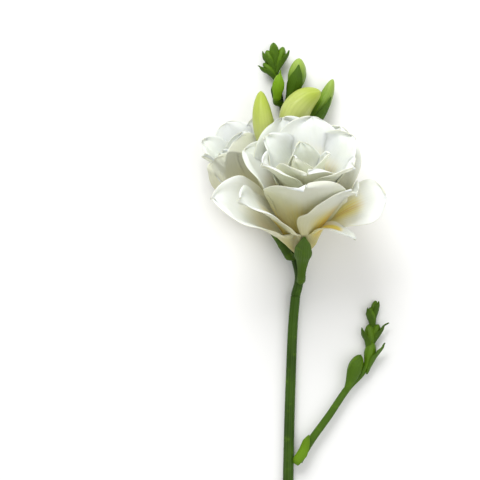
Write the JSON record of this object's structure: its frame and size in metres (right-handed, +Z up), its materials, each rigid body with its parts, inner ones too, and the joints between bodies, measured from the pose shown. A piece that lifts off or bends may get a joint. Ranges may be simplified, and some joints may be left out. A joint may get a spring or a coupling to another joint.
{
  "type": "freesia stem",
  "caption": "Cut freesia stem with white double blooms, yellow-green buds, green bracts and a budded side shoot, lying on a flat surface.",
  "frame": {"origin": "under the middle of the lying stem's box, on the surface that it rests on", "axes": "+Y runs along the stem from the cut end to the tip of the flower spike, +Z points up from the surface"},
  "size_m": [0.0868, 0.3018, 0.0623],
  "materials": {
    "stem_green": "satin living green stem and bracts",
    "petal_white": "soft matt white petal with yellow at its foot",
    "bud_cream": "satin yellow-green bud",
    "bud_green": "satin green bud"
  },
  "bodies": {
    "root": {"stem": "stem_green", "side_shoot": "stem_green", "bloom_1": "petal_white", "bloom_2": "petal_white", "bud_3": "bud_cream", "bud_4": "bud_cream", "bud_5": "bud_green", "bud_6": "bud_green", "bud_7": "bud_green"}
  },
  "joints": []
}
